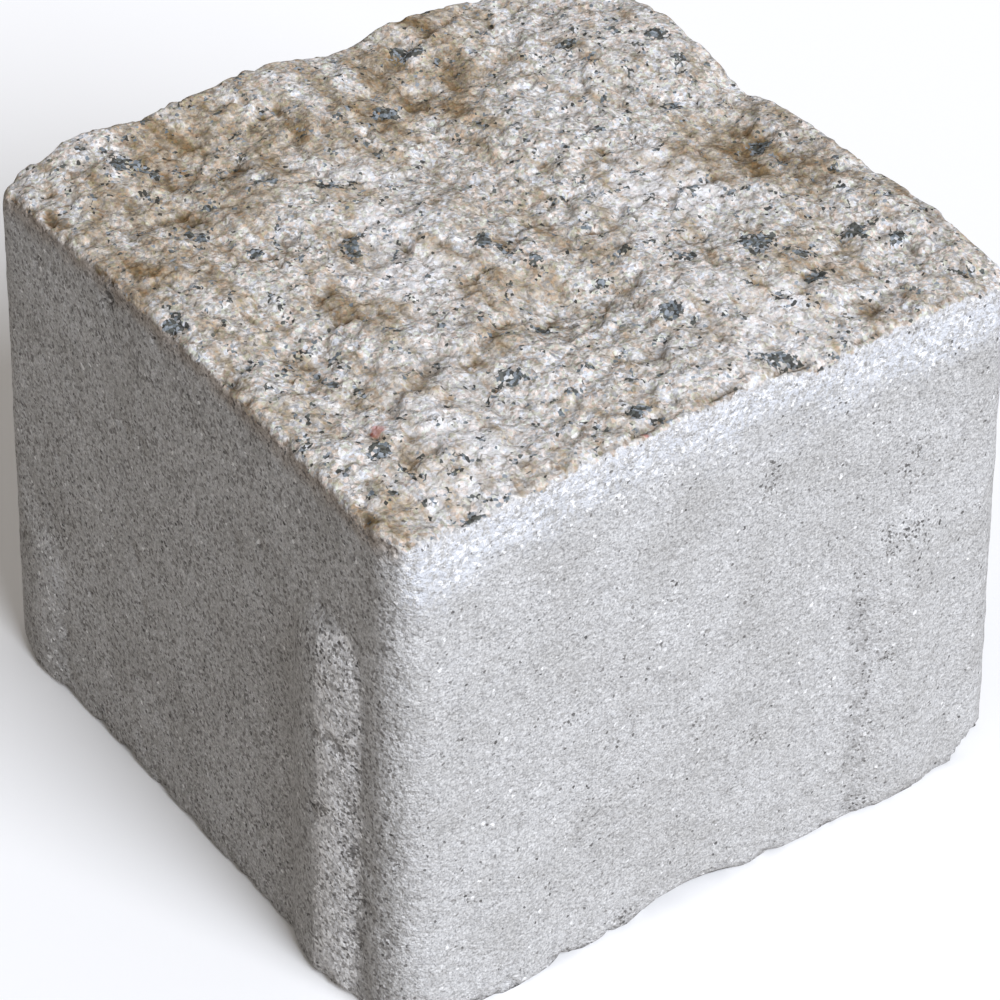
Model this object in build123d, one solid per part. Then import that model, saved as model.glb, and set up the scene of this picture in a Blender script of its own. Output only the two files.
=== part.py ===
from build123d import *
import os
from math import atan, cos, degrees, exp, pi, radians, sin, sqrt, tau

# Square concrete block paver, cast in one piece: walls that lean in a little towards the top,
# spacer ribs that start at the foot, a flat foot with chipped edges and a hewn top face.
# Millimetres, +Z up, origin at the middle of the foot.

# Block: the height is the mean level of the hewn face
foot_side = 98.0
top_side = 93.0
height = 77.0
edge_radius_foot = 7.0
edge_radius_top = 4.5
foot_round = 0.9
arris_round = 1.3

# Spacer ribs, seen from outside their wall: place to the right of the wall's middle, width,
# depth and level of the rounded upper end. The first wall faces -Y and the next faces +X.
# The two walls behind repeat them.
front_ribs = [(32.2, 15.0, 1.9, 57.5), (-37.5, 11.0, 0.8, 26.0)]
side_ribs = [(30.0, 15.0, 1.1, 48.0), (-32.0, 13.0, 0.5, 26.0)]
rib_seat = 1.0

# Chips off the edge of the foot: wall, counted from the -Y wall, place to the right of the
# wall's middle, width, height and depth
foot_chips = [
    (0, 0.5, 9.0, 1.2, 0.9),
    (1, -4.0, 22.0, 3.2, 2.5),
    (1, 47.0, 14.0, 5.0, 4.0),
    (2, 21.0, 15.0, 2.4, 2.0),
    (3, -15.0, 12.0, 1.8, 1.5),
]

# Humps and hollows of the hewn face: place as a share of the half side, reach and rise
hewn_marks = [
    (1.00, -1.00, 30.0, -1.7),
    (-1.00, -1.00, 13.0, -2.8),
    (1.00, 1.00, 13.0, -1.9),
    (-0.16, 1.00, 8.0, -2.0),
    (-0.46, 0.92, 11.0, 1.5),
    (0.62, 0.94, 9.0, 1.1),
    (-0.98, -0.18, 9.0, 1.2),
    (-0.97, 0.12, 7.0, -1.0),
    (-0.66, 0.16, 11.0, -1.3),
    (-0.68, -0.50, 13.0, -1.2),
    (0.04, 0.74, 10.0, -1.2),
    (0.00, 0.10, 10.0, -1.0),
    (0.40, -0.14, 9.0, -1.1),
    (0.44, -0.76, 10.0, -0.9),
    (0.16, 0.42, 12.0, 1.1),
    (-0.18, -0.34, 13.0, 1.0),
    (0.62, 0.30, 14.0, 0.8),
]

# Ripples of the hewn face: rise, length, heading in degrees and shift
hewn_ripples = [
    (0.40, 31.0, 38.0, 6.0),
    (0.30, 22.0, -52.0, 3.0),
    (0.22, 18.0, 81.0, 11.0),
]
hewn_step = 5.0
hewn_margin = 4.0


def hewn_level(x, y):
    """Level of the hewn face above the foot: its humps, hollows and ripples added up."""
    level = height
    for share_x, share_y, reach, rise in hewn_marks:
        apart = (x - share_x * top_side / 2) ** 2 + (y - share_y * top_side / 2) ** 2
        level += rise * exp(-2 * apart / reach**2)
    for rise, length, heading, shift in hewn_ripples:
        along = x * cos(radians(heading)) + y * sin(radians(heading)) + shift
        level += rise * sin(tau * along / length)
    return level


def hewn_face():
    """Smooth surface through the levels of the hewn face, a little wider than the block."""
    reach = max(top_side, foot_side) / 2 + hewn_margin
    steps = round(2 * reach / hewn_step)
    stations = [reach * (2 * n / steps - 1) for n in range(steps + 1)]
    rows = [[Vector(x, y, hewn_level(x, y)) for y in stations] for x in stations]
    return Face.make_surface_from_array_of_points(rows, tol=0.01)


def blank():
    """Body before its top is hewn: leaning walls, and upright edges rounder towards the foot."""
    crest = height + hewn_margin + sum(abs(ripple[0]) for ripple in hewn_ripples)
    crest_side = foot_side + (top_side - foot_side) * crest / height
    foot_outline = RectangleRounded(foot_side, foot_side, edge_radius_foot)
    crest_outline = RectangleRounded(crest_side, crest_side, edge_radius_top)
    body = loft([foot_outline, Plane.XY.offset(crest) * crest_outline])
    return fillet(body.faces().sort_by(Axis.Z)[0].edges(), foot_round)


def rib(place, width, depth, top):
    """Spacer rib on the -Y wall: the part of a round bar that stands proud of the wall."""
    bar_radius = (width**2 / 4 + depth**2) / (2 * depth)
    tip = top - width / 2 + bar_radius
    shoulder = tip - bar_radius
    foot_edge = bar_radius - min(foot_round, depth)
    outline = Polyline((0, tip), (0, 0), (foot_edge, 0), (bar_radius, bar_radius - foot_edge))
    outline += Line((bar_radius, bar_radius - foot_edge), (bar_radius, shoulder))
    outline += ThreePointArc(
        (bar_radius, shoulder),
        (bar_radius * cos(pi / 4), shoulder + bar_radius * sin(pi / 4)),
        (0, tip),
    )
    bar = Pos(0, bar_radius - depth, 0) * revolve(Plane.XZ * make_face(outline), Axis.Z)
    window = Pos(0, rib_seat, 0) * Box(
        width, depth + rib_seat, top, align=(Align.CENTER, Align.MAX, Align.MIN)
    )
    lean = degrees(atan((foot_side - top_side) / 2 / height))
    return Pos(place, -foot_side / 2, 0) * Rot(-lean, 0, 0) * (bar & window)


def ribs():
    """The ribs of all four walls."""
    walls = [front_ribs, side_ribs, front_ribs, side_ribs]
    return [Rot(0, 0, 90 * turn) * rib(*one) for turn, wall in enumerate(walls) for one in wall]


def chip(place, width, tall, deep):
    """Ball that scoops a chip of that width, height and depth out of the -Y edge of the foot."""
    out = (width**2 / 4 - deep**2) / (2 * deep)
    down = (width**2 / 4 - tall**2) / (2 * tall)
    ball_radius = sqrt(width**2 / 4 + out**2 + down**2)
    return Pos(place, -foot_side / 2 - out, -down) * Sphere(ball_radius)


def chips():
    """The balls for all the chips of the foot."""
    return [Rot(0, 0, 90 * wall) * chip(*size) for wall, *size in foot_chips]


def paver():
    """The whole block in one piece, with a worn arris round the hewn face."""
    hewn = blank().split(hewn_face(), keep=Keep.BOTTOM)
    arris = hewn.faces().sort_by(Axis.Z)[-1].edges()
    ribbed = hewn.fillet(arris_round, arris) + ribs()
    return ribbed.split(Plane.XY, keep=Keep.TOP) - chips()


os.makedirs("parts", exist_ok=True)
export_step(paver(), "parts/paver.step")
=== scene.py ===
import math

import bmesh
import bpy
import numpy as np
from mathutils import Matrix, Vector
from mathutils.bvhtree import BVHTree


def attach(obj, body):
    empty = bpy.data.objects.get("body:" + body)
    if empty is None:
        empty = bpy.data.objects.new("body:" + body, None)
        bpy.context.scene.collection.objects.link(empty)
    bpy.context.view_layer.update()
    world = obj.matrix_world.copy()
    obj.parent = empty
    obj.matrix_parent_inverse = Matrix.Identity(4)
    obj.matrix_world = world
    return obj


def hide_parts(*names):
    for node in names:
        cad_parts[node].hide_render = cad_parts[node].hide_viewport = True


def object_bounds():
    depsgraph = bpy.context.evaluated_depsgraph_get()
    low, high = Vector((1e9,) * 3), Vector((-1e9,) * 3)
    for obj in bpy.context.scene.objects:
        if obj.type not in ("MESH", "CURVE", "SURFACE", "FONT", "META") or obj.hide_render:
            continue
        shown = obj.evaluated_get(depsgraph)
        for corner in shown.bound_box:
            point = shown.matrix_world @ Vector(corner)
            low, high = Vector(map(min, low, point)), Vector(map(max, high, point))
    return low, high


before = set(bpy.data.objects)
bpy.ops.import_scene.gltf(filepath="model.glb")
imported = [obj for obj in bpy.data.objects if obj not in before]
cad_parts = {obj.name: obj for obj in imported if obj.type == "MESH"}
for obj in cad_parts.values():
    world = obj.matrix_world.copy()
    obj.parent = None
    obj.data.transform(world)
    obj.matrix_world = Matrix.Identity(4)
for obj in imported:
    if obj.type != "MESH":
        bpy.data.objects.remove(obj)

# Concrete block paver: one closed mesh laid over the block, with the broken stone of its hewn
# face, its ragged arris, its pits and its crumbled foot, and one material. Lengths are in
# millimetres unless a name says otherwise, and MM turns them into the metres of the scene.
MM = 0.001
cad_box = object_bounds()

# Block, as the part's source has it
FOOT_HALF = 49.0
TOP_HALF = 46.5
LEVEL = 77.0
EDGE_FOOT = 7.0
EDGE_TOP = 4.5
FOOT_ROUND = 0.9
ARRIS = 1.3

# Walls in the order of the part's source: they face -Y, +X, +Y and -X
FRONT, RIGHT, BACK, LEFT = range(4)

# Ribs of the front and of the right wall: place, width, level of the upper end, side of the
# crease, how far the flank there is scuffed and painted with highlight, and how far the crease
# is darkened with painted shade
FRONT_RIBS = [(32.2, 15.0, 57.5, 1, 1.0, 1.0), (-37.5, 11.0, 26.0, 1, 0.2, 0.6)]
RIGHT_RIBS = [(30.0, 15.0, 48.0, -1, 0.0, 1.0), (-32.0, 13.0, 26.0, -1, 0.0, 0.0)]
RIBS = {FRONT: FRONT_RIBS, RIGHT: RIGHT_RIBS, BACK: FRONT_RIBS, LEFT: RIGHT_RIBS}

# Mesh: cells along one side of the hewn face, fine rows below the arris and their height,
# rows down the rest of the walls, and rings of the two roundings
FACE_CELLS = 208
FINE_ROWS = 7
FINE_STEP = 0.5
WALL_ROWS = 76
ARRIS_ROWS = 4
FOOT_ROWS = 4

# How far outside the block the lines start that find its surface, and a share too small to see
REACH = 9.0
TINY = 1e-9

# Broken stone of the hewn face: sizes and heights of the torn streaks, the slabs, the chips,
# the crumbs and the grit, and how far the whole is set back
STREAK_HEADING_DEGREES = 118.0
TORN_LENGTH, TORN_WIDTH, TORN_HEIGHT = 15.0, 6.0, 0.8
SLAB_LENGTH, SLAB_WIDTH, SLAB_HEIGHT = 8.5, 5.0, 0.5
CHIP_SIZE, CHIP_HEIGHT = 3.0, 0.4
CRUMB_SIZE, CRUMB_HEIGHT = 1.45, 0.3
GRIT_SIZE, GRIT_HEIGHT = 0.95, 0.18
FACE_SETBACK = 0.15

# Walls: sizes and heights of their swells and their grit, sizes and depth of their pores, how
# many of the cells hold a pore, and how far the whole is set back
SWELL_SIZE, SWELL_HEIGHT = 16.0, 0.10
SAND_SIZE, SAND_HEIGHT = 2.2, 0.10
PORE_CELL, PORE_DEPTH, PORE_SHARE = 3.6, 0.45, 0.1
WALL_SETBACK = 0.17

# Bites out of the arris and out of the foot's edge: depth, size, seed, sizes added up, and the
# noise at which a bite starts and is full
ARRIS_BITES = [(1.5, 5.5, 91, 3, 0.0, 0.75), (0.8, 2.3, 95, 2, 0.0, 0.6)]
FOOT_BITES = [(1.0, 3.2, 101, 2, 0.0, 0.7), (0.8, 1.7, 103, 2, 0.1, 0.7)]

# Level below which the foot stays on the floor, and how near the box the highest tips are
# pressed together
FLOOR_LEVEL = 0.02
TIP_REACH = 1.0

# Pits and pitted places of the walls: wall, place along it, level, reach across and up, strength
PITS = [
    (0, 34.6, 51.5, 3.4, 3.8, 0.35), (0, 35.6, 40.2, 2.4, 0.7, 0.9),
    (0, 35.0, 28.6, 2.6, 0.7, 0.9), (0, 32.4, 39.5, 0.9, 0.7, 1.0),
    (0, 32.3, 27.6, 0.9, 0.7, 1.0), (0, 36.0, 17.0, 3.0, 6.0, 0.15),
    (0, 41.2, 17.2, 0.8, 0.9, 1.0), (0, 39.6, 10.4, 0.7, 0.8, 1.0),
    (0, 45.4, 27.0, 0.7, 0.7, 0.7), (0, 44.9, 14.4, 0.7, 0.7, 0.8),
    (0, 38.6, 24.0, 0.7, 2.2, 1.0), (0, 38.2, 31.0, 0.7, 2.6, 0.7),
    (0, -16.6, 74.2, 0.9, 2.1, 1.0), (0, -37.0, 29.6, 0.9, 0.7, 0.7),
    (0, -34.0, 29.0, 3.0, 3.4, 0.25), (1, 29.4, 44.0, 2.7, 2.4, 0.3),
    (1, 30.6, 55.0, 2.6, 3.2, 0.16), (1, 28.8, 53.7, 0.8, 0.7, 0.7),
    (1, 31.0, 56.3, 0.9, 0.7, 0.7), (1, 27.2, 42.8, 0.7, 1.0, 0.8),
    (1, 31.0, 44.6, 0.7, 0.9, 0.8), (1, 27.3, 25.4, 0.7, 0.7, 0.8),
    (1, 7.4, 61.8, 0.8, 1.3, 0.8), (1, 6.7, 21.5, 0.8, 0.7, 0.5),
    (1, -14.4, 2.6, 1.0, 0.8, 0.9), (2, -12.0, 30.0, 0.8, 0.7, 0.8),
    (2, 20.0, 52.0, 0.7, 0.8, 0.7), (2, 34.0, 51.0, 3.2, 3.6, 0.3),
    (3, 9.0, 18.0, 0.8, 0.7, 0.7), (3, -22.0, 44.0, 0.7, 1.0, 0.8),
    (3, 29.4, 44.0, 2.7, 2.4, 0.25),
]

# Lumps and a hollow along the two edges of the hewn face behind: place, reach and height
LUMPS = [
    (-46, -30, 6, 1.0), (-46, -21, 6, 1.1), (-46, -6, 6, 0.9), (-26, 46, 6, 1.0),
    (-4, 46, 5, 0.5), (31, 46, 6, -0.7),
]

# Brown stains and pale patches of the hewn face, and its larger chips of dark and coral stone:
# place, reach and strength
STAINS = [
    (4, 35, 12, 1.25), (-32, 9, 14, 1.0), (-27, -28, 17, 0.9), (-31, -9, 13, 0.7),
    (-43, -20, 14, 0.8), (13, -6, 7, 0.7), (21, -13, 7, 0.7), (-45, 20, 11, 0.7),
    (10, 9, 6, 0.7), (-12, -43, 12, 0.9), (28, 27, 9, 0.7), (7, -27, 9, 0.6),
    (20, -32, 8, 0.7), (-5, 5, 8, 0.4), (40, -42, 9, 0.5), (16, 40, 7, 0.5),
]
FROSTS = [
    (8, 21, 12, 1.2), (6, -15, 11, 1.0), (-8, -13, 8, 0.7), (23, -27, 9, 0.8),
    (38, -30, 13, 1.1), (41, 8, 12, 0.6), (-20, -8, 9, 0.5), (36, 20, 10, 0.6),
    (-24, 33, 11, 0.5), (30, 12, 8, 0.5), (-15, 22, 9, 0.4),
]
DARK_CHIPS = [
    (-37, -32, 2.5, 1.0), (-34.5, -30, 1.7, 0.9), (-11, -29, 1.7, 1.2), (-4.5, -18.5, 2.4, 1.1),
    (-6.5, -17, 1.6, 1.0), (4, -4.5, 2.3, 1.0), (7, -3, 1.8, 0.8), (11, -2, 1.7, 0.8),
    (24, 22.6, 2.8, 1.2), (33, 24.2, 2.0, 1.2), (29, 26.3, 1.9, 1.0), (-27.3, 30.3, 1.8, 1.1),
    (-9, 34, 2.0, 0.9), (-22, 42, 2.2, 1.0), (-16, 41, 1.8, 0.9), (5, 37.6, 2.4, 0.9),
    (-28.8, 2.8, 2.3, 1.1), (-38.8, 13, 2.2, 1.1), (20.5, 13.4, 1.8, 0.9), (15.6, 8, 1.8, 1.0),
    (19, 3.2, 1.7, 0.9), (29, 5, 2.2, 1.1), (43, 9.4, 2.2, 0.9), (-17.5, -13.6, 2.0, 0.8),
    (-23, -20, 1.8, 0.8), (-17.8, -33, 2.0, 0.9), (31, -38.2, 1.9, 1.2), (28, -18, 1.8, 0.9),
    (16, -35.7, 1.7, 1.0), (31.7, 38.5, 1.7, 1.0), (27.6, 35.5, 1.6, 1.0), (21.4, -8.3, 1.6, 1.0),
    (-2.8, -45.2, 2.2, 1.1), (42, -9, 1.7, 0.9), (44.6, 11.8, 1.8, 0.9), (45.5, -35.5, 1.8, 0.9),
]
CORAL_CHIPS = [(27.6, -36.4, 1.7, 1.2), (45.6, -11.2, 1.2, 0.9)]

# The patches lie no further than this below the mean level of the hewn face
PATCH_DEPTH = 6.0


def lattice(ix, iy, iz, seed):
    """Repeatable random value from 0 to 1 for whole-numbered places."""
    mask = 0xFFFFFFFF
    h = (ix * 374761393 + iy * 668265263 + iz * 2147483647 + seed * 1274126177) & mask
    h = ((h ^ (h >> 13)) * 1274126177) & mask
    h = ((h ^ (h >> 16)) * 2246822519) & mask
    return ((h ^ (h >> 15)) & mask) / float(mask)


def noise(p, seed):
    """Smooth random value from -1 to 1, one unit from swell to swell."""
    cell = np.floor(p).astype(np.int64)
    t = p - cell
    t = t * t * t * (t * (t * 6 - 15) + 10)
    total = np.zeros(len(p))
    for dx in (0, 1):
        for dy in (0, 1):
            for dz in (0, 1):
                weight = 1.0
                for axis, step in enumerate((dx, dy, dz)):
                    weight = weight * (t[:, axis] if step else 1 - t[:, axis])
                total += weight * lattice(cell[:, 0] + dx, cell[:, 1] + dy, cell[:, 2] + dz, seed)
    return 2 * total - 1


def layers(p, size, seed, count=3, fade=0.5):
    """Noise of several sizes added up, from size downwards, between about -1 and 1."""
    total = np.zeros(len(p))
    share = 1.0
    whole = 0.0
    for n in range(count):
        total += share * noise(p / size + 17.3 * n, seed + n)
        whole += share
        share *= fade
        size /= 2.03
    return total / whole


def swayed(p, reach, size, seeds, count=3):
    """Places pushed to and fro by up to about reach."""
    return p + reach * np.stack([layers(p, size, seed, count) for seed in seeds], 1)


def grains(p, size, seed):
    """Cells round random points: distance from the point in sizes, lot and tilted plane."""
    q = p / size
    cell = np.floor(q).astype(np.int64)
    nearest = np.full(len(p), np.inf)
    lot = np.zeros(len(p))
    plane = np.zeros(len(p))
    for dx in (-1, 0, 1):
        for dy in (-1, 0, 1):
            for dz in (-1, 0, 1):
                c = cell + (dx, dy, dz)
                lots = [lattice(c[:, 0], c[:, 1], c[:, 2], seed + n) for n in range(7)]
                away = q - c - np.stack(lots[:3], 1)
                apart = np.linalg.norm(away, axis=1)
                slope = np.sum(away * (2 * np.stack(lots[4:], 1) - 1), axis=1)
                nearer = apart < nearest
                lot = np.where(nearer, lots[3], lot)
                plane = np.where(nearer, slope, plane)
                nearest = np.where(nearer, apart, nearest)
    return nearest, lot, plane


def smooth(low, high, value):
    """Zero below low, one above high, smooth between."""
    t = np.clip((value - low) / (high - low), 0, 1)
    return t * t * (3 - 2 * t)


def outline(count, half, radius):
    """Places and outward directions along a rounded square, count to a side, -Y side first."""
    places = []
    outwards = []
    straight = half - radius
    length = straight + math.pi / 4 * radius
    for side in range(4):
        turn = Matrix.Rotation(math.pi / 2 * side, 2)
        for n in range(count):
            along = (2 * n / count - 1) * length
            sign = math.copysign(1, along)
            angle = max(abs(along) - straight, 0) / radius
            outward = Vector((sign * math.sin(angle), -math.cos(angle)))
            middle = Vector((sign * min(abs(along), straight), -straight))
            places.append(turn @ (middle + radius * outward))
            outwards.append(turn @ outward)
    return np.array(places), np.array(outwards)


def half_at(z):
    """Half the width of the block at a level."""
    return FOOT_HALF + (TOP_HALF - FOOT_HALF) * z / LEVEL


def edge_at(z):
    """Radius of the upright edges at a level."""
    return EDGE_FOOT + (EDGE_TOP - EDGE_FOOT) * z / LEVEL


class Skin:
    """Vertices laid on the block by casting towards it, and the faces between them."""

    def __init__(self, node):
        mesh = bmesh.new()
        mesh.from_mesh(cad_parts[node].data)
        self.tree = BVHTree.FromBMesh(mesh)
        mesh.free()
        self.places = []
        self.outwards = []
        self.rims = []
        self.faces = []

    def cast(self, centre, outward):
        """Point of the block seen from outside along a line to centre."""
        start = Vector(centre + REACH * outward) * MM
        hit = self.tree.ray_cast(start, -Vector(outward), 2 * REACH * MM)[0]
        return np.array(hit) / MM if hit else np.array(centre)

    def add(self, centres, outwards, rims):
        """Lays a row of vertices and gives their numbers."""
        first = len(self.places)
        for centre, outward, rim in zip(centres, outwards, rims):
            self.places.append(self.cast(centre, outward))
            self.outwards.append(outward)
            self.rims.append(rim)
        return list(range(first, len(self.places)))

    def band(self, upper, lower):
        """Quads between two closed rows of as many vertices."""
        count = len(upper)
        for n in range(count):
            m = (n + 1) % count
            self.faces.append((upper[n], lower[n], lower[m], upper[m]))

    def join(self, upper, lower):
        """Faces between a closed row and one with half as many vertices below it."""
        count = len(lower)
        for n in range(count):
            a, b, c = upper[2 * n], upper[2 * n + 1], upper[(2 * n + 2) % len(upper)]
            d, e = lower[n], lower[(n + 1) % count]
            self.faces += [(a, d, b), (b, d, e), (b, e, c)]


def square_grid(skin, cells, half, radius, level, up):
    """Grid over a rounded square that ends on its outline; gives the closed row of its edge."""
    edge_places = outline(cells, half, radius)[0]
    numbers = {}
    centres = []
    rims = []
    for j in range(cells + 1):
        for i in range(cells + 1):
            u = 2 * i / cells - 1
            v = 2 * j / cells - 1
            scale = max(abs(u), abs(v))
            if scale < TINY:
                place = np.zeros(2)
            else:
                place = scale * along_square(edge_places, cells, u / scale, v / scale)
            numbers[i, j] = len(centres)
            centres.append(np.array((place[0], place[1], level)))
            rims.append((1 - scale) * half if up else -LEVEL)
    outward = np.array((0, 0, 1.0 if up else -1.0))
    row = skin.add(centres, [outward] * len(centres), rims)
    for j in range(cells):
        for i in range(cells):
            corners = [(i, j), (i + 1, j), (i + 1, j + 1), (i, j + 1)]
            face = [row[numbers[c]] for c in corners]
            skin.faces.append(tuple(face if up else reversed(face)))
    edge = [(n, 0) for n in range(cells)] + [(cells, n) for n in range(cells)]
    edge += [(cells - n, cells) for n in range(cells)] + [(0, cells - n) for n in range(cells)]
    return [row[numbers[c]] for c in edge]


def along_square(edge_places, cells, u, v):
    """Point of the outline at a place on the border of the unit square."""
    if v <= -1 + TINY:
        step = (u + 1) / 2 * cells
    elif u >= 1 - TINY:
        step = cells + (v + 1) / 2 * cells
    elif v >= 1 - TINY:
        step = 2 * cells + (1 - u) / 2 * cells
    else:
        step = 3 * cells + (1 - v) / 2 * cells
    low = int(step) % (4 * cells)
    high = (low + 1) % (4 * cells)
    part = step - int(step)
    return edge_places[low] * (1 - part) + edge_places[high] * part


def ring(skin, upper, inner, outward, levels, angle, rim):
    """Next row of a rounding below upper, turned by angle from upwards to outwards."""
    centres = np.column_stack([inner, levels])
    ways = np.column_stack([outward * math.sin(angle), np.full(len(inner), math.cos(angle))])
    lower = skin.add(centres, ways, [rim] * len(inner))
    skin.band(upper, lower)
    return lower


def wall_row(skin, upper, rows, drop):
    """Next row of a wall below upper, of as many vertices as rows has levels."""
    mean = float(np.mean(rows))
    places, outward = outline(len(rows) // 4, half_at(mean), edge_at(mean))
    centres = np.column_stack([places, rows])
    ways = np.column_stack([outward, np.zeros(len(rows))])
    lower = skin.add(centres, ways, [-drop] * len(rows))
    if len(lower) == len(upper):
        skin.band(upper, lower)
    else:
        skin.join(upper, lower)
    return lower


def lay_skin():
    """Skin over the whole block: hewn face, arris, walls, foot rounding and foot."""
    skin = Skin("paver")
    inner_half = half_at(LEVEL) - ARRIS
    inner_edge = edge_at(LEVEL) - ARRIS
    upper = square_grid(skin, FACE_CELLS, inner_half, inner_edge, LEVEL, up=True)
    levels = np.array([skin.places[n][2] for n in upper]) - ARRIS
    inner, outward = outline(FACE_CELLS, inner_half, inner_edge)
    for m in range(1, ARRIS_ROWS + 1):
        angle = math.pi / 2 * m / ARRIS_ROWS
        upper = ring(skin, upper, inner, outward, levels, angle, -ARRIS * angle)
    drop = math.pi / 2 * ARRIS
    for m in range(1, FINE_ROWS + 1):
        upper = wall_row(skin, upper, levels - FINE_STEP * m, drop + FINE_STEP * m)
    levels = levels[::2] - FINE_STEP * FINE_ROWS
    drop += FINE_STEP * FINE_ROWS
    for m in range(1, WALL_ROWS + 1):
        share = m / WALL_ROWS
        rows = levels + (FOOT_ROUND - levels) * share
        upper = wall_row(skin, upper, rows, drop + (levels.mean() - FOOT_ROUND) * share)
    cells = FACE_CELLS // 2
    foot_half = half_at(0) - FOOT_ROUND
    foot_edge = edge_at(0) - FOOT_ROUND
    inner, outward = outline(cells, foot_half, foot_edge)
    levels = np.full(len(inner), FOOT_ROUND)
    for m in range(1, FOOT_ROWS):
        angle = math.pi / 2 * (1 + m / FOOT_ROWS)
        upper = ring(skin, upper, inner, outward, levels, angle, -LEVEL)
    lower = square_grid(skin, cells // 2, foot_half, foot_edge, 0.0, up=False)
    skin.join(upper, lower)
    return skin


def streak_places(p, length, width):
    """Places stretched along the streaks of the hewn face."""
    heading = math.radians(STREAK_HEADING_DEGREES)
    along = p[:, 0] * math.cos(heading) + p[:, 1] * math.sin(heading)
    across = p[:, 1] * math.cos(heading) - p[:, 0] * math.sin(heading)
    return np.column_stack([along / length, across / width, p[:, 2] / width])


def facets(p, size, seed, step, tilt):
    """Broken stones of one size, each at a level of its own and with a tilted face."""
    lot, plane = grains(p, size, seed)[1:]
    return step * (lot - 0.5) + tilt * plane


def hewn_relief(p):
    """Height of the broken stone on the hewn face."""
    bent = swayed(p, 0.8, 3.5, (21, 22, 23))
    torn = 0.35 - np.abs(layers(streak_places(bent, TORN_LENGTH, TORN_WIDTH), 1.0, 3))
    slabs = facets(streak_places(bent, SLAB_LENGTH, SLAB_WIDTH), 1.0, 131, 0.9, 1.1)
    chips = facets(bent, CHIP_SIZE, 31, 0.6, 1.2)
    crumbs = facets(p, CRUMB_SIZE, 41, 0.5, 0.9)
    grit = layers(p, GRIT_SIZE, 45, count=2)
    stones = SLAB_HEIGHT * slabs + CHIP_HEIGHT * chips + CRUMB_HEIGHT * crumbs
    return TORN_HEIGHT * torn + stones + GRIT_HEIGHT * grit


def wall_relief(p):
    """Height of the walls' unevenness and pores."""
    swell = SWELL_HEIGHT * layers(p, SWELL_SIZE, 51)
    grit = SAND_HEIGHT * layers(p, SAND_SIZE, 61, count=2)
    apart, lot = grains(p, PORE_CELL, 71)[:2]
    pores = np.where(lot > 1 - PORE_SHARE, PORE_DEPTH * smooth(0.34, 0.10, apart), 0.0)
    return swell + grit - pores - WALL_SETBACK


def wall_share(outward, wall):
    """Share of each vertex that lies on one wall."""
    heading = math.pi / 2 * wall
    faces = outward[:, 0] * math.sin(heading) - outward[:, 1] * math.cos(heading)
    return smooth(0.55, 0.85, faces)


def along_wall(p, wall):
    """Place of each vertex along one wall, to the right of its middle as seen from outside."""
    heading = math.pi / 2 * wall
    return p[:, 0] * math.cos(heading) + p[:, 1] * math.sin(heading)


def rib_masks(p, outward):
    """Share of each vertex on the flank of a rib, scuffed and painted with highlight, and in its
    crease, darkened with painted shade.
    """
    scuff_and_highlight = np.zeros(len(p))
    crease = np.zeros(len(p))
    for wall, ribs in RIBS.items():
        share = wall_share(outward, wall)
        for place, width, top, crease_side, scuffed_and_lit, creased in ribs:
            across = crease_side * (along_wall(p, wall) - place) / (width / 2)
            over = np.maximum(p[:, 2] - top + width / 2, 0) / (width / 2)
            inside = smooth(1.05, 0.88, np.hypot(np.abs(across - 0.4) + 0.35, over))
            scuff_and_highlight = np.maximum(scuff_and_highlight, scuffed_and_lit * share * smooth(-0.02, 0.14, across) * inside)
            line = smooth(0.34, 0.1, np.abs(across - 0.95)) * smooth(top - 4, top - 14, p[:, 2])
            crease = np.maximum(crease, creased * share * line)
    return scuff_and_highlight, crease


def pit_mask(p, outward):
    """Share of each vertex that lies in the pits and pitted places of the walls."""
    total = np.zeros(len(p))
    for wall, place, level, across, up, strength in PITS:
        apart = np.hypot((along_wall(p, wall) - place) / across, (p[:, 2] - level) / up)
        pit = strength * wall_share(outward, wall) * np.exp(-0.7 * apart ** 2)
        total = np.maximum(total, pit)
    return total


def patches(p, spots):
    """Soft round patches of the hewn face, added up."""
    total = np.zeros(len(p))
    on_top = p[:, 2] > LEVEL - PATCH_DEPTH
    for x, y, reach, strength in spots:
        apart = np.hypot(p[:, 0] - x, p[:, 1] - y)
        total += strength * np.exp(-2 * (apart / reach) ** 2) * on_top
    return total


def bites(p, kinds):
    """Depth of the bites of several kinds, added up."""
    total = np.zeros(len(p))
    for depth, size, seed, count, start, full in kinds:
        total += depth * smooth(start, full, layers(p, size, seed, count))
    return total


def soft_limit(z, top, reach):
    """Levels pressed together as they near top, so that none passes it."""
    over = np.maximum(z - top + reach, 0)
    return np.where(over > 0, top - reach * np.exp(-over / reach), z)


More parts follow.
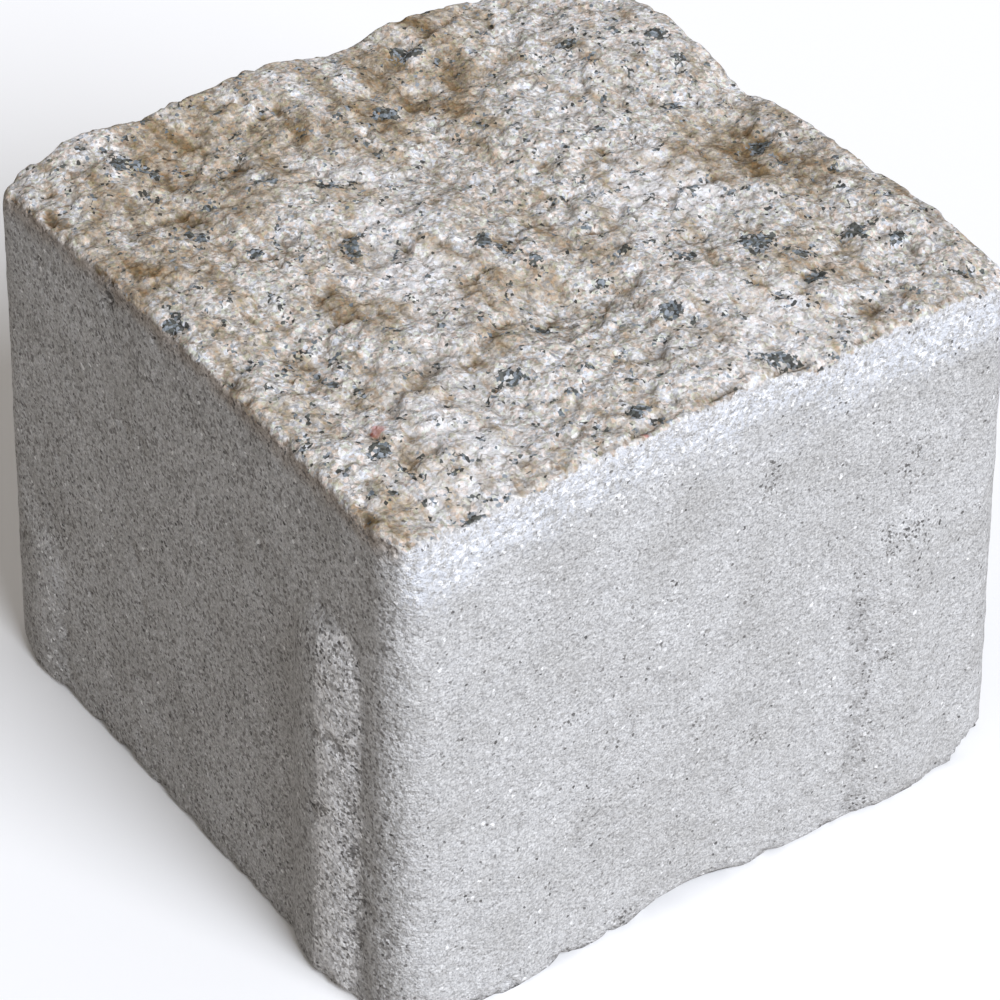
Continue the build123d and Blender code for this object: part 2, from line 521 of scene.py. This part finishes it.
def relief(p, outward, rim):
    """Vertices with their relief, kept inside the box of the block, and the masks it gives."""
    low, high = [np.array(corner) / MM for corner in cad_box]
    on_face = smooth(-2.2, 0.3, rim)
    off_floor = p[:, 2] > FLOOR_LEVEL
    behind = smooth(TOP_HALF - 5, TOP_HALF - 1, np.maximum(-p[:, 0], p[:, 1]))
    calmed = smooth(4.0, 0.5, rim) * (0.35 + 0.3 * behind)
    height = on_face * ((1 - calmed) * hewn_relief(p) - FACE_SETBACK + patches(p, LUMPS))
    height += (1 - on_face) * wall_relief(p) * off_floor
    pits = pit_mask(p, outward)
    height += pits * (layers(p, 1.6, 141, count=2) - 0.3)
    at_arris = smooth(2.6, 0.1, np.abs(rim + 0.7))
    at_arris *= (1 - 0.5 * wall_share(outward, RIGHT)) * (1 - 0.5 * behind)
    height -= at_arris * bites(p, ARRIS_BITES)
    foot_bites = bites(p, FOOT_BITES)
    at_foot = smooth(3.2, 0.2, p[:, 2]) * smooth(-1.0, -6.0, rim)
    height -= at_foot * foot_bites * off_floor
    tips = p + outward * height[:, None]
    out = np.maximum(np.abs(p[:, 0]), np.abs(p[:, 1]))
    sole = smooth(FOOT_HALF - 7, FOOT_HALF - 1, out) * (outward[:, 2] < -0.99)
    tips[:, :2] *= (1 - sole * foot_bites / FOOT_HALF)[:, None]
    tips[:, 2] = soft_limit(tips[:, 2], high[2], TIP_REACH)
    scuff_and_highlight, crease = rib_masks(p, outward)
    masks = {"depth": height, "scuff_and_highlight": scuff_and_highlight, "crease": crease, "pit": pits}
    return np.clip(tips, low, high), masks


def colour_masks(p, outward, rim):
    """Masks of the colours: border of the hewn face, its patches, and the walls' pale band."""
    ragged = layers(p, 3.0, 81)
    spread = swayed(p, 3.5, 9.0, (201, 202, 203))
    jagged = swayed(p, 1.3, 2.4, (211, 213, 215), count=2)
    sides = np.maximum(wall_share(outward, RIGHT), wall_share(outward, LEFT))
    band = smooth(13.0, 5.0, -rim + 6.0 * layers(p, 8.0, 151) + 2.2 * layers(p, 1.6, 155))
    lip = smooth(-5.0, -1.6, rim + 1.5 * ragged) * smooth(1.5, -0.4, rim)
    return {
        "rim": rim + 1.3 * ragged,
        "stain": patches(spread, STAINS),
        "frost": patches(spread, FROSTS),
        "chip": patches(jagged, DARK_CHIPS),
        "coral": patches(p, CORAL_CHIPS),
        "band": band * sides,
        # Front and back walls: more speckle, and painted shade that darkens the front wall
        "speckle_and_shade": 1 - sides,
        "lip": lip * (0.15 + 0.85 * wall_share(outward, FRONT)),
    }


def build_paver():
    """The paver's mesh, with the masks that its material reads."""
    skin = lay_skin()
    outward = np.array(skin.outwards)
    rim = np.array(skin.rims)
    p, masks = relief(np.array(skin.places), outward, rim)
    masks.update(colour_masks(p, outward, rim))
    mesh = bpy.data.meshes.new("paver_block")
    mesh.from_pydata([tuple(place * MM) for place in p], [], skin.faces)
    mesh.update()
    for polygon in mesh.polygons:
        polygon.use_smooth = True
    for name, values in masks.items():
        layer = mesh.attributes.new(name, "FLOAT", "POINT")
        layer.data.foreach_set("value", np.asarray(values, dtype=np.float32))
    block = bpy.data.objects.new("paver_block", mesh)
    bpy.context.collection.objects.link(block)
    return block


class Graph:
    """Short ways to add and join the nodes of one material."""

    def __init__(self, name):
        self.material = bpy.data.materials.new(name)
        self.material.use_nodes = True
        self.tree = self.material.node_tree
        self.tree.nodes.clear()

    def node(self, kind, settings=None, inputs=None):
        """Adds a node, with its settings, and its inputs as values or as links."""
        node = self.tree.nodes.new(kind)
        for name, value in (settings or {}).items():
            setattr(node, name, value)
        for name, value in (inputs or {}).items():
            socket = node.inputs[name]
            if isinstance(value, bpy.types.NodeSocket):
                self.tree.links.new(value, socket)
            else:
                socket.default_value = value
        return node

    def math(self, operation, a, b, clamp=False):
        """Result of a sum on two numbers."""
        settings = {"operation": operation, "use_clamp": clamp}
        return self.node("ShaderNodeMath", settings, {0: a, 1: b}).outputs[0]

    def plus(self, *numbers):
        """Sum of the numbers."""
        total = numbers[0]
        for number in numbers[1:]:
            total = self.math("ADD", total, number)
        return total

    def times(self, *numbers):
        """Product of the numbers."""
        total = numbers[0]
        for number in numbers[1:]:
            total = self.math("MULTIPLY", total, number)
        return total

    def vector(self, operation, inputs):
        """Result of a sum on vectors."""
        return self.node("ShaderNodeVectorMath", {"operation": operation}, inputs).outputs[0]

    def ramp(self, value, stops, mode="LINEAR"):
        """Colour ramp: stops are place and colour."""
        node = self.node("ShaderNodeValToRGB", {}, {"Fac": value})
        node.color_ramp.interpolation = mode
        elements = node.color_ramp.elements
        while len(elements) < len(stops):
            elements.new(0.5)
        for element, (place, colour) in zip(elements, stops):
            element.position = place
            element.color = colour
        return node.outputs["Color"]

    def rise(self, value, low, high):
        """Zero below low, one above high."""
        settings = {"interpolation_type": "SMOOTHSTEP"}
        inputs = {"Value": value, "From Min": low, "From Max": high}
        return self.node("ShaderNodeMapRange", settings, inputs).outputs["Result"]

    def mix(self, share, a, b, blend="MIX"):
        """Colour a with a share of colour b."""
        settings = {"data_type": "RGBA", "blend_type": blend}
        node = self.node("ShaderNodeMix", settings, {})
        for number, value in ((0, share), (6, a), (7, b)):
            if isinstance(value, bpy.types.NodeSocket):
                self.tree.links.new(value, node.inputs[number])
            else:
                node.inputs[number].default_value = value
        return node.outputs[2]

    def glaze(self, share, colour, film):
        """Colour darkened by a share of a film over it."""
        return self.mix(share, colour, film, "MULTIPLY")

    def number(self, name):
        """A number stored on the mesh."""
        settings = {"attribute_type": "GEOMETRY", "attribute_name": name}
        return self.node("ShaderNodeAttribute", settings).outputs["Fac"]

    def noise(self, place, size, detail=2.0, rough=0.5):
        """Noise whose swells are about size millimetres apart."""
        inputs = {"Vector": place, "Scale": 1 / (size * MM), "Detail": detail, "Roughness": rough}
        return self.node("ShaderNodeTexNoise", {}, inputs).outputs["Fac"]

    def cells(self, place, size, feature="F1"):
        """Cells about size millimetres across."""
        inputs = {"Vector": place, "Scale": 1 / (size * MM)}
        return self.node("ShaderNodeTexVoronoi", {"feature": feature}, inputs)

    def lot(self, place, size, channel="Green"):
        """A random number for each cell about size millimetres across."""
        lots = self.cells(place, size).outputs["Color"]
        return self.node("ShaderNodeSeparateColor", {}, {"Color": lots}).outputs[channel]


def tone(red, green, blue):
    """Colour from its values on screen, 0 to 255."""
    values = []
    for value in (red, green, blue):
        c = value / 255
        values.append(c / 12.92 if c <= 0.04045 else ((c + 0.055) / 1.055) ** 2.4)
    return (*values, 1.0)


# Sizes of the stones, the single grains, the pores and the beads that the material shows
STONE = 2.1
SMALL_STONE = 0.95
GRAIN = 0.44
PORE = 0.36
BEAD = 0.6

# Colours of the hewn face's large stones, small stones, grains and fine speckle, each from the
# random number or noise at which it starts
WHITE = tone(255, 255, 255)
STONE_TONES = [
    (0.0, tone(190, 182, 172)), (0.16, tone(212, 208, 204)), (0.36, tone(226, 223, 221)),
    (0.54, tone(210, 202, 192)), (0.68, tone(236, 236, 237)), (0.84, tone(214, 200, 192)),
]
SMALL_STONE_TONES = [
    (0.0, tone(150, 144, 136)), (0.12, tone(196, 191, 185)), (0.36, tone(222, 219, 217)),
    (0.58, tone(247, 247, 248)), (0.76, tone(206, 198, 187)), (0.9, tone(172, 164, 152)),
]
GRAIN_TONES = [
    (0.0, tone(98, 92, 86)), (0.18, tone(174, 169, 163)), (0.48, tone(224, 221, 219)),
    (0.8, WHITE),
]
SPECKLE_TONES = [
    (0.30, tone(120, 114, 106)), (0.42, tone(186, 181, 175)), (0.54, tone(230, 228, 227)),
    (0.66, WHITE),
]
GRAIN_HUES = [
    (0.0, WHITE), (0.4, tone(255, 242, 234)), (0.62, tone(240, 246, 234)),
    (0.76, tone(236, 242, 252)),
]

# Films over the hewn face, from the lightest to the darkest, the darkest of them painted shade
# in its hollows, then its frost, painted shade for its crevices, and colours of its chips
SHADE_FILM = tone(206, 202, 192)
TAN_FILM = tone(218, 205, 185)
RUST_FILM = tone(184, 166, 136)
HOLLOW_SHADE_TONE = tone(178, 170, 158)
FROST_TONE = tone(246, 246, 250)
CREVICE_SHADE = tone(104, 94, 80)
CORAL_TONE = tone(208, 118, 102)
DARK_CHIP_TONES = [
    (0.0, tone(44, 47, 45)), (0.3, tone(80, 85, 82)), (0.58, tone(104, 114, 122)),
    (0.8, tone(142, 150, 158)),
]

# Colours of the walls: paste, sand, clouds and the mould's drag, then the pale band, the
# ribs' scuff with painted highlight, the painted shade of their creases, the lip under the
# arris and the pores
PASTE_TONES = [
    (0.30, tone(156, 156, 157)), (0.42, tone(197, 197, 198)), (0.58, tone(218, 218, 218)),
    (0.70, tone(239, 239, 239)),
]
SAND_TONES = [(0.0, tone(158, 155, 152)), (0.3, tone(226, 225, 223)), (0.9, WHITE)]
CLOUD_TONES = [(0.3, tone(234, 233, 231)), (0.64, WHITE)]
DRAG_TONES = [(0.32, tone(240, 240, 240)), (0.58, WHITE)]
BAND_TONE = tone(234, 239, 249)
SCUFF_AND_HIGHLIGHT_TONE = tone(248, 248, 250)
CREASE_SHADE = tone(168, 165, 162)
LIP_FILM = tone(214, 198, 182)
PORE_TONES = [(0.0, tone(58, 56, 54)), (0.4, tone(118, 116, 114)), (1.0, tone(178, 176, 174))]

# Bump: heights of the stone's grit and beads and of the walls' grit and unevenness, and the
# level of the stone that makes the two meet
STONE_GRIT_BUMP = 0.18
STONE_BEAD_BUMP = -0.12
STONE_LEVEL_BUMP = 0.45
WALL_GRIT_BUMP = 0.4
WALL_UNEVEN_BUMP = 0.55

# Distance from the rim, counted outwards and down, over which the stone gives way to the walls
FACE_END = (-1.9, -1.3)


def flecks(g, place, size, chance):
    """Which grains of a size stand out, where chance tells how many of them do."""
    return g.rise(g.plus(g.lot(place, size, "Red"), chance), 0.99, 1.0)


def stone_grains(g, place, bent):
    """Colour of clean broken granite: stones of two sizes, grains and fine speckle."""
    stones = g.ramp(g.lot(bent, STONE, "Red"), STONE_TONES, "CONSTANT")
    small_stones = g.ramp(g.lot(bent, SMALL_STONE), SMALL_STONE_TONES, "CONSTANT")
    grain = g.ramp(g.lot(place, GRAIN), GRAIN_TONES)
    speckle = g.ramp(g.noise(place, 0.36, 2.0, 0.6), SPECKLE_TONES)
    colour = g.mix(0.55, stones, small_stones)
    colour = g.mix(0.68, colour, g.mix(0.3, grain, speckle))
    hues = g.ramp(g.lot(place, GRAIN, "Blue"), GRAIN_HUES, "CONSTANT")
    return g.glaze(0.9, colour, hues)


def stone_stains(g, place, bent, colour):
    """Shade, pale frost, tan and rust of the hewn face, over a colour."""
    shade = g.rise(g.noise(bent, 1.7, 4.0, 0.7), 0.46, 0.62)
    colour = g.glaze(g.times(shade, 0.8), colour, SHADE_FILM)
    along_streaks = g.node("ShaderNodeMapping", {}, {
        "Vector": bent,
        "Rotation": (0, 0, -math.radians(STREAK_HEADING_DEGREES)),
        "Scale": (0.34, 1.0, 1.0),
    }).outputs[0]
    streak = g.noise(along_streaks, 3.0, 4.0, 0.62)
    frost = g.times(g.number("frost"), g.rise(g.noise(bent, 2.0, 3.0, 0.65), 0.36, 0.56))
    colour = g.mix(g.math("MULTIPLY", frost, 0.5, clamp=True), colour, FROST_TONE)
    stain = g.number("stain")
    tan = g.rise(g.plus(g.times(stain, 0.22), streak), 0.47, 0.66)
    tan = g.times(tan, g.rise(g.lot(place, GRAIN), -0.5, 0.9))
    colour = g.glaze(tan, colour, TAN_FILM)
    deep = g.rise(g.number("depth"), 0.0, -1.1)
    rust = g.plus(g.times(stain, 0.42), g.times(streak, 2.0), g.times(deep, 0.3))
    return g.glaze(g.rise(rust, 1.16, 1.74), colour, RUST_FILM)


def stone_chips(g, place, bent, colour):
    """Painted shade in the crevices between the stones, and dark and coral chips, over a colour.
    """
    edges = g.cells(bent, STONE, "DISTANCE_TO_EDGE").outputs["Distance"]
    torn = g.rise(g.noise(place, 2.1), 0.46, 0.60)
    # Painted shade: a dark brown line along the borders of the large stones
    crevice_shade = g.times(g.rise(edges, 0.12, 0.0), torn, 0.5)
    colour = g.mix(crevice_shade, colour, CREVICE_SHADE)
    frayed = g.times(g.plus(g.noise(place, 0.9, 2.0, 0.6), -0.5), 1.2)
    placed = g.rise(g.plus(g.number("chip"), frayed), 0.22, 0.58)
    flock = g.rise(g.noise(place, 2.4), 0.57, 0.67)
    chance = g.math("MAXIMUM", g.times(placed, 0.86), g.times(flock, 0.46))
    dark = flecks(g, place, GRAIN, g.plus(chance, 0.008))
    tones = g.ramp(g.lot(place, GRAIN, "Blue"), DARK_CHIP_TONES, "CONSTANT")
    colour = g.mix(g.times(dark, 0.92), colour, tones)
    coral = g.rise(g.plus(g.number("coral"), frayed), 0.5, 0.9)
    return g.mix(g.times(coral, 0.55), colour, CORAL_TONE)


def stone_colour(g, place, bent):
    """Colour of the hewn face."""
    colour = stone_grains(g, place, bent)
    colour = stone_stains(g, place, bent, colour)
    return stone_chips(g, place, bent, colour)


def plain_concrete(g, place):
    """Colour of clean wall: paste and sand, with clouds and the upright drag of the mould."""
    colour = g.ramp(g.noise(place, 0.30, 2.0, 0.65), PASTE_TONES)
    sand = g.ramp(g.lot(place, GRAIN), SAND_TONES)
    # Front and back walls take more of the dark sand: speckle, and painted shade that darkens the
    # front wall
    colour = g.glaze(g.plus(g.times(g.number("speckle_and_shade"), 0.6), 0.3), colour, sand)
    colour = g.glaze(0.8, colour, g.ramp(g.noise(place, 9.0, 3.0, 0.66), CLOUD_TONES))
    inputs = {"Vector": place, "Scale": (1.0, 1.0, 0.1)}
    drawn = g.node("ShaderNodeMapping", {}, inputs).outputs[0]
    return g.glaze(0.6, colour, g.ramp(g.noise(drawn, 0.6, 1.0), DRAG_TONES))


def pore_chance(g, place):
    """How many grains are pores: few all over, more in the creases, most in the pits."""
    flock = g.rise(g.noise(place, 5.0, 2.0, 0.65), 0.44, 0.70)
    # The creases hold more pores, dark specks that add to their painted shade
    creased = g.times(g.number("crease"), 0.08)
    # A few more pores on the front and back walls, part of their painted shade
    speckle_and_shade = g.times(g.number("speckle_and_shade"), 0.03)
    pitted = g.times(g.number("pit"), 0.85)
    return g.plus(g.times(flock, 0.035), 0.002, creased, speckle_and_shade, pitted)


def concrete_colour(g, place):
    """Colour of the walls, with their pale band, ribs scuffed and painted with highlight, creases
    darkened with painted shade, lip and pores.
    """
    colour = plain_concrete(g, place)
    frosty = g.rise(g.noise(place, 0.9, 3.0, 0.8), 0.42, 0.55)
    band = g.times(g.number("band"), frosty)
    colour = g.mix(g.times(band, 0.62), colour, BAND_TONE)
    # Painted highlight: the flank of a rib that faces the light is made pale and flecked white,
    # together with its scuff
    scuff_and_highlight = g.number("scuff_and_highlight")
    colour = g.mix(g.times(scuff_and_highlight, frosty, 0.5), colour, SCUFF_AND_HIGHLIGHT_TONE)
    bare_and_highlit = g.math("MAXIMUM", g.times(scuff_and_highlight, 0.3), g.times(band, 0.2))
    colour = g.mix(g.times(flecks(g, place, GRAIN, bare_and_highlit), 0.8), colour, WHITE)
    # Painted shade: the creases beside the ribs are darkened, in broken patches
    broken = g.rise(g.noise(place, 1.6, 2.0, 0.6), 0.38, 0.62)
    colour = g.glaze(g.times(g.number("crease"), broken, 0.35), colour, CREASE_SHADE)
    colour = g.glaze(g.times(g.number("lip"), 0.8), colour, LIP_FILM)
    pores = flecks(g, place, PORE, pore_chance(g, place))
    return g.mix(g.times(pores, 0.85), colour, g.ramp(g.lot(place, PORE, "Blue"), PORE_TONES))


def bent_places(g, place):
    """Places pushed to and fro, so that the stones lose their straight borders."""
    inputs = {"Vector": place, "Scale": 1 / (1.3 * MM), "Detail": 2.0}
    wander = g.node("ShaderNodeTexNoise", {}, inputs).outputs["Color"]
    moved = g.vector("SUBTRACT", {0: wander, 1: (0.5, 0.5, 0.5)})
    return g.vector("ADD", {0: place, 1: g.vector("SCALE", {0: moved, "Scale": 1.6 * MM})})


def surface_normal(g, place):
    """Bump of the stone and of the walls."""
    grit = g.noise(place, 0.5, 3.0, 0.7)
    beads = g.times(g.cells(place, BEAD).outputs["Distance"], STONE_BEAD_BUMP * MM)
    level = g.plus(beads, STONE_LEVEL_BUMP * MM)
    stone_height = g.plus(g.times(grit, STONE_GRIT_BUMP * MM), level)
    uneven = g.times(g.noise(place, 1.3, 2.0, 0.6), WALL_UNEVEN_BUMP * MM)
    wall_height = g.plus(g.times(grit, WALL_GRIT_BUMP * MM), uneven)
    heights = {0: g.rise(g.number("rim"), *FACE_END), 2: wall_height, 3: stone_height}
    height = g.node("ShaderNodeMix", {"data_type": "FLOAT"}, heights).outputs[0]
    inputs = {"Height": height, "Strength": 1.0, "Distance": 1.0}
    return g.node("ShaderNodeBump", {}, inputs).outputs["Normal"]


def paver_material():
    """Material of the whole block, told apart by the distance from the rim of its face."""
    g = Graph("concrete")
    place = g.node("ShaderNodeTexCoord").outputs["Object"]
    bent = bent_places(g, place)
    frayed = g.times(g.plus(g.noise(place, 1.8, 3.0, 0.7), -0.5), 4.4)
    on_face = g.rise(g.plus(g.number("rim"), frayed), *FACE_END)
    colour = g.mix(on_face, concrete_colour(g, place), stone_colour(g, place, bent))
    # Painted shade: the hewn face darkens where its relief lies deep, as if shade fell into its
    # hollows
    hollow = g.times(g.rise(g.number("depth"), -0.1, -1.3), on_face)
    colour = g.glaze(g.times(hollow, 0.9), colour, HOLLOW_SHADE_TONE)
    shader = g.node("ShaderNodeBsdfPrincipled", {}, {
        "Base Color": colour,
        "Roughness": 0.9,
        "Specular IOR Level": 0.2,
        "Normal": surface_normal(g, place),
    })
    g.node("ShaderNodeOutputMaterial", {}, {"Surface": shader.outputs[0]})
    return g.material


# Floor: half its side in metres, its colour where it is seen and where it lights the block
FLOOR_HALF_METRES = 3.0
FLOOR_SEEN = (0.98, 0.98, 0.98, 1.0)
FLOOR_BOUNCE = (0.40, 0.37, 0.34, 1.0)


def seen_directly(g):
    """One for the rays that show a background: camera, glossy and transmission rays."""
    path = g.node("ShaderNodeLightPath")
    share = g.math("MAXIMUM", path.outputs["Is Camera Ray"], path.outputs["Is Glossy Ray"])
    return g.math("MAXIMUM", share, path.outputs["Is Transmission Ray"])


def build_floor():
    """Plain pale floor."""
    half = FLOOR_HALF_METRES
    mesh = bpy.data.meshes.new("floor")
    corners = [(-half, -half, 0), (half, -half, 0), (half, half, 0), (-half, half, 0)]
    mesh.from_pydata(corners, [], [(0, 1, 2, 3)])
    floor = bpy.data.objects.new("floor", mesh)
    bpy.context.collection.objects.link(floor)
    g = Graph("floor")
    colour = g.mix(seen_directly(g), FLOOR_BOUNCE, FLOOR_SEEN)
    diffuse = g.node("ShaderNodeBsdfDiffuse", {}, {"Color": colour})
    g.node("ShaderNodeOutputMaterial", {}, {"Surface": diffuse.outputs[0]})
    mesh.materials.append(g.material)


# Light: a soft key from the right and above, and an even sky
KEY_FROM = (0.80, 0.06, 0.60)
KEY_STRENGTH = 3.95
KEY_SOFTNESS_DEGREES = 35.0
KEY_COLOUR = (0.88, 0.92, 1.0)
SKY_STRENGTH = 0.35
SKY_COLOUR = (1.0, 0.94, 0.88, 1.0)


def build_key():
    """Key light."""
    key = bpy.data.lights.new("key", "SUN")
    key.energy = KEY_STRENGTH
    key.angle = math.radians(KEY_SOFTNESS_DEGREES)
    key.color = KEY_COLOUR
    lamp = bpy.data.objects.new("key", key)
    lamp.rotation_euler = Vector(KEY_FROM).to_track_quat("Z", "Y").to_euler()
    bpy.context.collection.objects.link(lamp)


def build_sky():
    """Even sky, white where the camera sees it."""
    world = bpy.data.worlds.new("sky")
    bpy.context.scene.world = world
    world.use_nodes = True
    tree = world.node_tree
    tree.nodes.clear()
    path = tree.nodes.new("ShaderNodeLightPath")
    soft = tree.nodes.new("ShaderNodeBackground")
    soft.inputs["Color"].default_value = SKY_COLOUR
    soft.inputs["Strength"].default_value = SKY_STRENGTH
    white = tree.nodes.new("ShaderNodeBackground")
    white.inputs["Color"].default_value = WHITE
    white.inputs["Strength"].default_value = 1.0
    share = tree.nodes.new("ShaderNodeMixShader")
    out = tree.nodes.new("ShaderNodeOutputWorld")
    tree.links.new(path.outputs["Is Camera Ray"], share.inputs[0])
    tree.links.new(soft.outputs[0], share.inputs[1])
    tree.links.new(white.outputs[0], share.inputs[2])
    tree.links.new(share.outputs[0], out.inputs["Surface"])


# Camera: where it stands round the block, and its lens for a picture of 1000 by 1000
AZIMUTH_DEGREES = 54.58
ELEVATION_DEGREES = 38.22
ROLL_DEGREES = 0.24
DISTANCE = 493.4
TARGET = (8.93, -5.56, 40.26)
SENSOR = 36.0
FOCAL_PIXELS = 3833.0
PICTURE_PIXELS = 1000
NEAREST_SEEN = 10.0


def build_camera():
    """Camera at the photograph's angle."""
    azimuth = math.radians(AZIMUTH_DEGREES)
    elevation = math.radians(ELEVATION_DEGREES)
    back = Vector((
        math.sin(azimuth) * math.cos(elevation),
        -math.cos(azimuth) * math.cos(elevation),
        math.sin(elevation),
    ))
    data = bpy.data.cameras.new("camera")
    data.sensor_width = SENSOR
    data.lens = FOCAL_PIXELS * SENSOR / PICTURE_PIXELS
    data.clip_start = NEAREST_SEEN * MM
    camera = bpy.data.objects.new("camera", data)
    right = Vector((0, 0, 1)).cross(back).normalized()
    up = back.cross(right)
    turn = math.radians(ROLL_DEGREES)
    side = right * math.cos(turn) + up * math.sin(turn)
    top = up * math.cos(turn) - right * math.sin(turn)
    place = (Vector(TARGET) + DISTANCE * back) * MM
    camera.matrix_world = Matrix((
        (side.x, top.x, back.x, place.x),
        (side.y, top.y, back.y, place.y),
        (side.z, top.z, back.z, place.z),
        (0, 0, 0, 1),
    ))
    bpy.context.collection.objects.link(camera)
    bpy.context.scene.camera = camera


block = build_paver()
block.data.materials.append(paver_material())
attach(block, "root")
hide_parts("paver")
build_floor()
build_key()
build_sky()
build_camera()
bpy.context.scene.view_settings.view_transform = "Standard"
